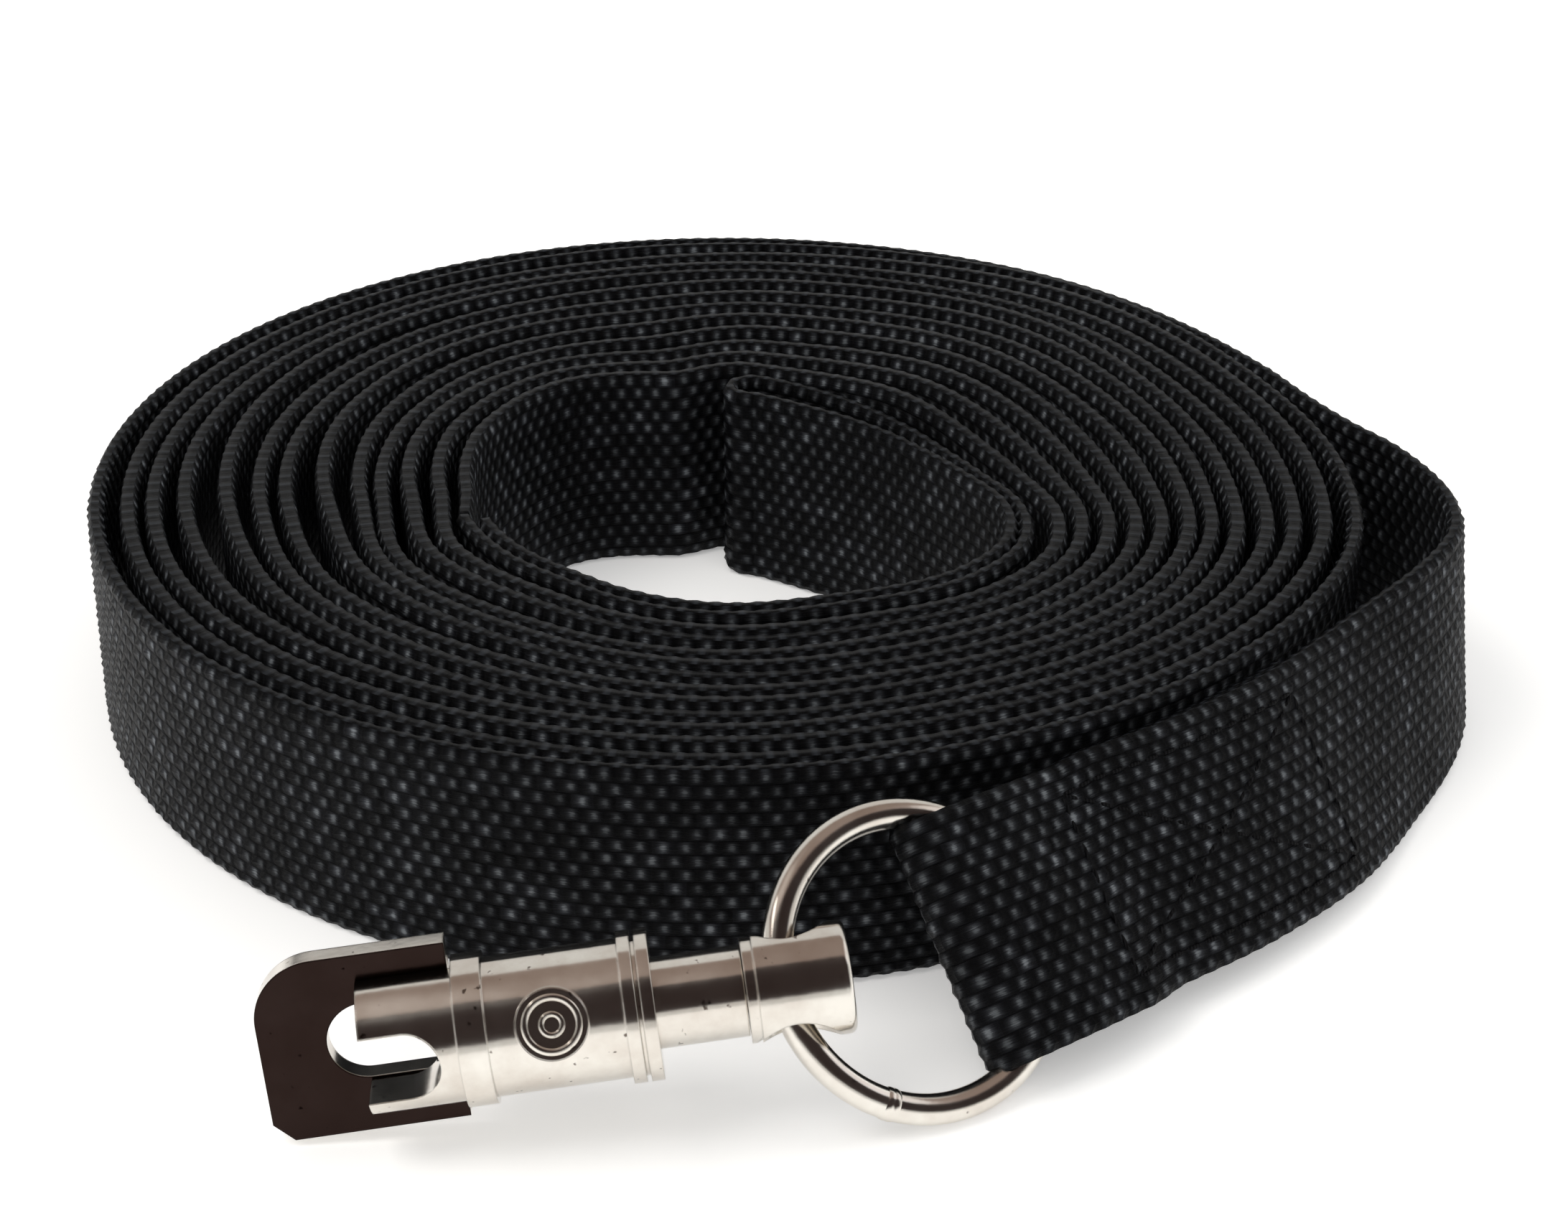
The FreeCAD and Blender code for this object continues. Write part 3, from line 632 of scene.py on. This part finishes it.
def torus(name, centre, axis, radius, wire, squash):
    """A ring of round wire, pressed flatter along its axis by squash."""
    axis = unit(np.array(axis, float))
    first = unit(np.cross(axis, [0.3, 0.9, 0.2]))
    second = np.cross(axis, first)
    verts, faces = [], []
    around, section = 64, 16
    for a in np.linspace(0, math.tau, around, endpoint=False):
        outward = first * math.cos(a) + second * math.sin(a)
        for b in np.linspace(0, math.tau, section, endpoint=False):
            offset = outward * (radius + wire * math.cos(b)) + axis * wire * squash * math.sin(b)
            verts.append((centre + offset) * MM)
    for i in range(around):
        for j in range(section):
            k, n = (j + 1) % section, (i + 1) % around
            faces.append((i * section + j, n * section + j, n * section + k, i * section + k))
    return new_piece(name, verts, faces)


# Two plain raised rings on the barrel's round boss.
BOSS_X, BOSS_HEIGHT = 28.1, 6.62         # its place along the snap's axis, and its face's distance from it
boss_tilt = math.radians(20.0)
boss_axis = Vector((0, -math.cos(boss_tilt), math.sin(boss_tilt)))
boss_face = SNAP_TURN @ (Vector((BOSS_X, 0, 0)) + boss_axis * BOSS_HEIGHT)
boss_centre = np.array(boss_face) + SNAP_ORIGIN + COIL
for mark, radius, wire in (("boss_ring", 2.45, 0.36), ("boss_inner_ring", 0.95, 0.3)):
    dress(torus(mark, boss_centre, SNAP_TURN @ boss_axis, radius, wire, 0.8), NICKEL, "nickel", "sleeve")

for node in ("ring", "hook_plate", "shank", "sliding_sleeve", "swivel_head", "return_spring"):
    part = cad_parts[node]
    mat = {"return_spring": STEEL, "hook_plate": PLATE}.get(node, NICKEL)
    for place in part.material_slots:
        place.material = mat

RING_R, RING_WIRE = 14.0, 1.5            # to the middle of the wire, and the wire's own radius
WELD_ANGLE, WELD_HALF = math.radians(303), 0.052         # the weld's place round the ring, and half its reach


def ring_weld():
    """The ring's butt weld: a slightly swollen band round its wire, with a nick at its middle."""
    swollen, nick, sunk = 0.17, 0.35, 0.05
    level = unit(np.cross(FACE, [0.0, 0.0, 1.0]))
    steep = np.cross(level, FACE)
    verts, faces = [], []
    sections, around = 13, 32
    for i in range(sections):
        x = 2 * i / (sections - 1) - 1
        swell = swollen * math.sqrt(max(1 - x * x, 0)) * (1 - nick * math.exp(-(x / 0.12) ** 2))
        reach = RING_WIRE - sunk + swell
        a = WELD_ANGLE + x * WELD_HALF
        outward = level * math.cos(a) + steep * math.sin(a)
        for b in np.linspace(0, math.tau, around, endpoint=False):
            offset = outward * (RING_R + reach * math.cos(b)) + FACE * reach * math.sin(b)
            verts.append((RING_CENTRE + COIL + offset) * MM)
    for i in range(sections - 1):
        for j in range(around):
            a, b = i * around + j, i * around + (j + 1) % around
            faces.append((a, b, b + around, a + around))
    return new_piece("ring_weld", verts, faces)


dress(ring_weld(), NICKEL, "nickel", "ring")

# ---- stage, light and camera -------------------------------------------------------------------------------
# A pale floor that glows faintly, as a light table does.
floor_half = 3.0
floor_corners = [(x * floor_half, y * floor_half, 0) for x, y in ((-1, -1), (1, -1), (1, 1), (-1, 1))]
floor = new_piece("floor", floor_corners, [(0, 1, 2, 3)], smooth=False)
floor_material, _, floor_shader = material("floor", (0.92, 0.92, 0.92), 0.9)
floor_shader.inputs["Emission Color"].default_value = (1, 1, 1, 1)
floor_shader.inputs["Emission Strength"].default_value = 0.3
floor.data.materials.append(floor_material)


def reflection_card(name, low, high, colour):
    """A card that curves up over the camera's side, between two angles above the floor, in degrees. Only
    reflections see it."""
    steps, radius, side = 16, 0.9, 1.6
    arc = [(-radius * math.cos(a), radius * math.sin(a)) for a in np.radians(np.linspace(low, high, steps))]
    verts = [(x, y, z) for y, z in arc for x in (-side, side)]
    faces = [(2 * i, 2 * i + 1, 2 * i + 3, 2 * i + 2) for i in range(steps - 1)]
    card = new_piece(name, verts, faces, smooth=False)
    card.data.materials.append(material(name, colour, 1.0)[0])
    card.visible_camera = False
    card.visible_diffuse = False
    card.visible_shadow = False


reflection_card("dark_room", 10, 72, (0.020, 0.011, 0.010))
reflection_card("dim_ceiling", 72, 122, (0.26, 0.20, 0.175))


def area_light(name, place, size, power, colour):
    """A square lamp that faces the model's middle."""
    light = bpy.data.lights.new(name, "AREA")
    light.size = size
    light.energy = power
    light.color = colour
    item = bpy.data.objects.new(name, light)
    item.location = place
    item.rotation_euler = (-Vector(place)).to_track_quat("-Z", "Y").to_euler()
    bpy.context.scene.collection.objects.link(item)


area_light("key", (-0.6, -0.1, 1.0), size=0.7, power=4.5, colour=(1.0, 0.97, 0.93))
area_light("fill", (0.8, 0.1, 0.8), size=0.8, power=1.5, colour=(0.95, 0.97, 1.0))
world = bpy.data.worlds.new("studio")
bpy.context.scene.world = world
world.use_nodes = True
background = world.node_tree.nodes["Background"]
background.inputs["Color"].default_value = (1.0, 0.985, 0.96, 1)
background.inputs["Strength"].default_value = 0.75
bpy.context.scene.view_settings.view_transform = "Standard"

CAMERA_PLACE = (COIL + np.array([-34.6, -310.1, 167.0])) * MM
azimuth, dip = math.radians(7.68), math.radians(27.5)
aim = Vector((math.sin(azimuth) * math.cos(dip), math.cos(azimuth) * math.cos(dip), -math.sin(dip)))
camera = bpy.data.objects.new("camera", bpy.data.cameras.new("camera"))
camera.data.lens = 66.8
camera.data.sensor_width = 36.0
camera.data.clip_start = 0.01
camera.location = Vector(CAMERA_PLACE)
camera.rotation_euler = aim.to_track_quat("-Z", "Y").to_euler()
bpy.context.scene.collection.objects.link(camera)
bpy.context.scene.camera = camera
